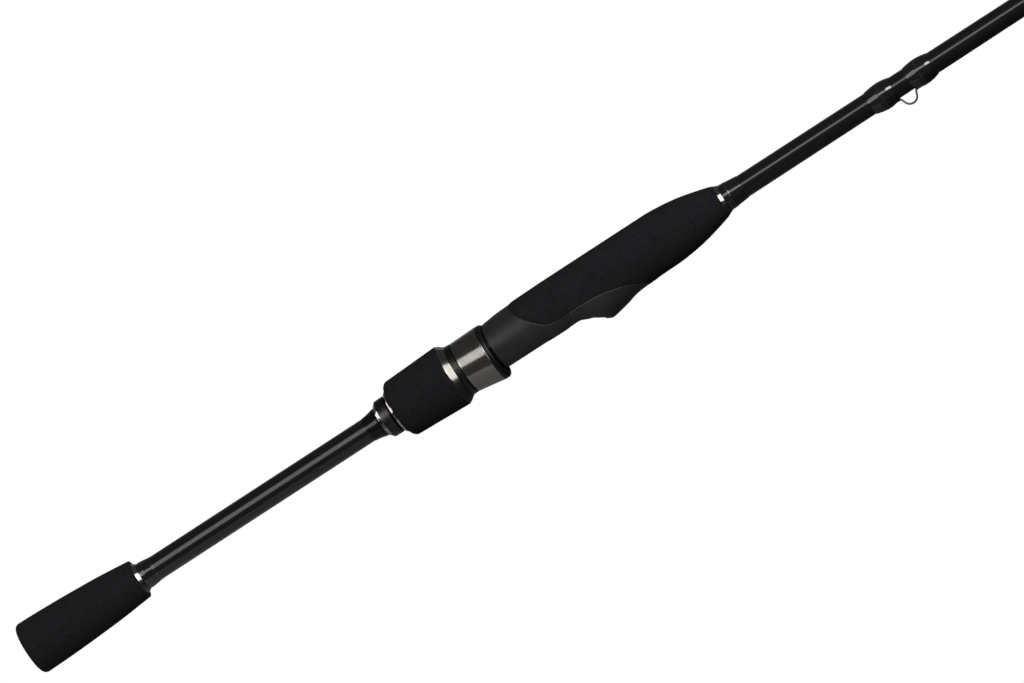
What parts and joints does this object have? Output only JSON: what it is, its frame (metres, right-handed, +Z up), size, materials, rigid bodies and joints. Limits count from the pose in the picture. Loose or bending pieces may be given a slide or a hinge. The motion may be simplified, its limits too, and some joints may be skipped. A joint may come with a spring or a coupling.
{
  "type": "spinning rod",
  "caption": "Spinning rod with a split grip, a reel seat with a sliding hood and hidden-thread locking nut, a hook keeper, line guides and a tip-top; no reel fitted.",
  "frame": {"origin": "centre of the flat end face of the butt grip's end plug", "axes": "+X along the rod from butt to tip; -Z is the side that the reel and the line guides are on; +Z is up, over the back of the seat"},
  "size_m": [1.9781, 0.0304, 0.0511],
  "materials": {
    "eva_foam": "matte",
    "soft_touch": "satin",
    "black_plastic": "satin",
    "gunmetal": "polished",
    "bright_trim": "polished",
    "dark_ring": "satin",
    "carbon_blank": "gloss",
    "epoxy_wrap": "polished",
    "arbor_foam": "matte",
    "guide_ceramic": "polished",
    "guide_steel": "satin"
  },
  "bodies": {
    "rod": {"blank_butt_section": "carbon_blank", "butt_end_plug": "black_plastic", "butt_grip": "eva_foam", "butt_winding_check": "bright_trim", "butt_wrap": "epoxy_wrap", "foregrip": "eva_foam", "front_check_wrap": "epoxy_wrap", "front_winding_check": "bright_trim", "guide_1_frame": "guide_steel", "guide_1_ring": "guide_ceramic", "guide_1_wrap_front": "epoxy_wrap", "guide_1_wrap_rear": "epoxy_wrap", "hook_keeper": "guide_steel", "keeper_wrap_front": "epoxy_wrap", "keeper_wrap_rear": "epoxy_wrap", "reel_seat_body": "soft_touch", "seat_arbor_front": "arbor_foam", "seat_arbor_middle": "arbor_foam", "seat_arbor_rear": "arbor_foam", "seat_end_collar": "dark_ring", "seat_rear_trim_ring": "bright_trim", "seat_rear_wrap": "epoxy_wrap", "threaded_barrel": "black_plastic"},
    "hood": {"hood_body": "black_plastic", "hood_cover": "gunmetal", "hood_slip_ring": "dark_ring"},
    "locking_nut": {"locking_nut_sleeve": "black_plastic", "nut_grip": "eva_foam", "nut_front_collar": "gunmetal", "nut_rear_trim_ring": "bright_trim"},
    "tip_section": {"blank_tip_section": "carbon_blank", "ferrule_wrap": "epoxy_wrap", "guide_2_frame": "guide_steel", "guide_2_ring": "guide_ceramic", "guide_2_wrap_front": "epoxy_wrap", "guide_2_wrap_rear": "epoxy_wrap", "guide_3_frame": "guide_steel", "guide_3_ring": "guide_ceramic", "guide_3_wrap_rear": "epoxy_wrap", "guide_4_frame": "guide_steel", "guide_4_ring": "guide_ceramic", "guide_4_wrap_rear": "epoxy_wrap", "guide_5_frame": "guide_steel", "guide_5_ring": "guide_ceramic", "guide_5_wrap_rear": "epoxy_wrap", "guide_6_frame": "guide_steel", "guide_6_ring": "guide_ceramic", "guide_6_wrap_rear": "epoxy_wrap", "guide_7_frame": "guide_steel", "guide_7_ring": "guide_ceramic", "guide_7_wrap_rear": "epoxy_wrap", "tip_top_frame": "guide_steel", "tip_top_ring": "guide_ceramic", "tip_top_wrap": "epoxy_wrap"}
  },
  "joints": [
    {"name": "hood_slide", "type": "slide", "parent": "rod", "child": "hood", "axis": [1, 0, 0], "range_m": [-0.012, 0]},
    {"name": "nut_turn", "type": "hinge", "parent": "hood", "child": "locking_nut", "pos_m": [0.216, 0, 0], "axis": [1, 0, 0], "range_deg": [-1728, 0]},
    {"name": "ferrule_slide", "type": "slide", "parent": "rod", "child": "tip_section", "axis": [1, 0, 0], "range_m": [0, 0.07]}
  ],
  "couplings": [
    {"joint": "hood_slide", "follows": "nut_turn", "m_per_rad": 0.00039789}
  ]
}
